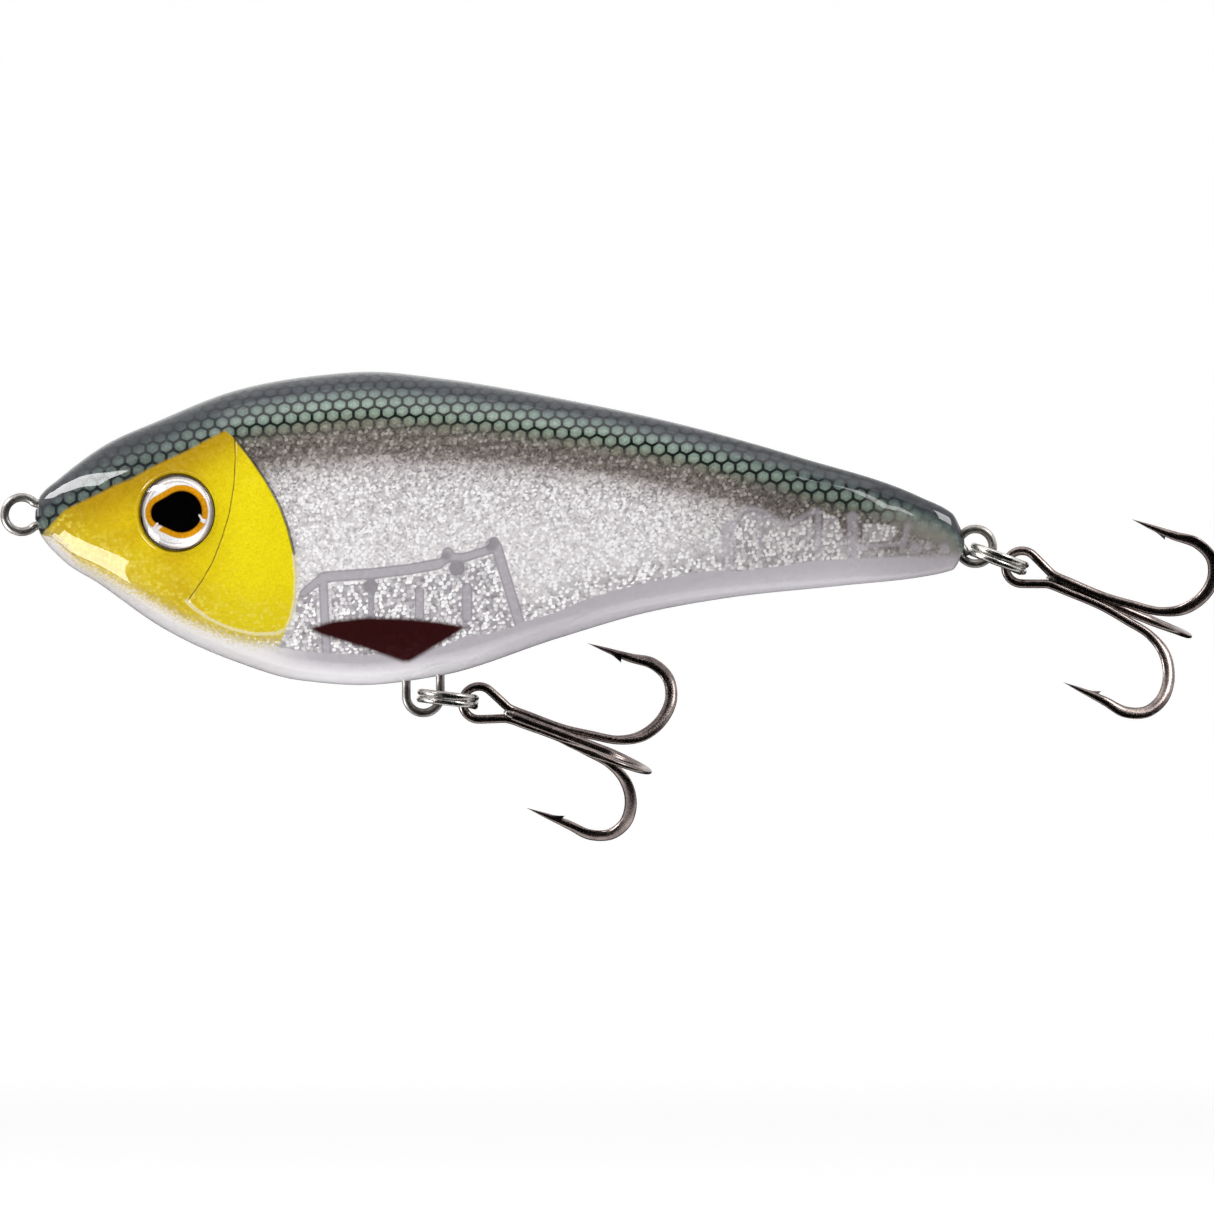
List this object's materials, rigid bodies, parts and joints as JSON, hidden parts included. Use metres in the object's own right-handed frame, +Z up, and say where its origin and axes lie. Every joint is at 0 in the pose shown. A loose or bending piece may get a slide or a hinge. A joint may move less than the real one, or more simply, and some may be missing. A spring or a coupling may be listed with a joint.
{
  "type": "fishing lure",
  "caption": "Hard-bodied glide lure: two bonded shells over wire hangers and weights, domed eyes, split rings and treble hooks that swing.",
  "frame": {"origin": "centre of the line tie's eye, on the median plane", "axes": "+X towards the tail, +Z up through the back, -Y out of the fish's left side"},
  "size_m": [0.1568, 0.0286, 0.0604],
  "materials": {
    "painted_shell": "clear moulded plastic, airbrushed and glittered inside the gloss coat",
    "eye_print": "printed foil",
    "eye_lens": "polished clear dome",
    "hanger_wire": "drawn stainless wire",
    "split_ring": "bright nickel plate",
    "black_nickel_hook": "black nickel plate",
    "lead": "cast lead",
    "steel_ball": "polished ball"
  },
  "bodies": {
    "lure_body": {"left_shell": "painted_shell", "right_shell": "painted_shell", "left_eye_disc": "eye_print", "right_eye_disc": "eye_print", "left_eye_dome": "eye_lens", "right_eye_dome": "eye_lens", "line_tie": "hanger_wire", "belly_hanger": "hanger_wire", "tail_hanger": "hanger_wire", "head_weight": "lead", "keel_weight_1": "lead", "keel_weight_2": "lead", "keel_weight_3": "lead", "keel_weight_4": "lead", "tail_weight_ball": "steel_ball"},
    "belly_ring": {"belly_split_ring": "split_ring"},
    "belly_treble": {"belly_double_hook": "black_nickel_hook", "belly_single_hook": "black_nickel_hook"},
    "tail_ring": {"tail_split_ring": "split_ring"},
    "tail_treble": {"tail_double_hook": "black_nickel_hook", "tail_single_hook": "black_nickel_hook"},
    "rattle": {"rattle_ball": "steel_ball"}
  },
  "joints": [
    {"name": "belly_ring_swing", "type": "hinge", "parent": "lure_body", "child": "belly_ring", "pos_m": [0.0514, 0, -0.02333], "axis": [0, 1, 0], "range_deg": [0, 105]},
    {"name": "belly_treble_swing", "type": "hinge", "parent": "belly_ring", "child": "belly_treble", "pos_m": [0.05851, 0, -0.02417], "axis": [0, 1, 0], "range_deg": [-15, 35]},
    {"name": "tail_ring_swing", "type": "hinge", "parent": "lure_body", "child": "tail_ring", "pos_m": [0.12265, 0, -0.00446], "axis": [0, 1, 0], "range_deg": [-70, 75]},
    {"name": "tail_treble_swing", "type": "hinge", "parent": "tail_ring", "child": "tail_treble", "pos_m": [0.12935, 0, -0.00698], "axis": [0, 1, 0], "range_deg": [-45, 45]},
    {"name": "rattle_slide", "type": "slide", "parent": "lure_body", "child": "rattle", "axis": [1, 0, 0], "range_m": [0, 0.0023]}
  ]
}
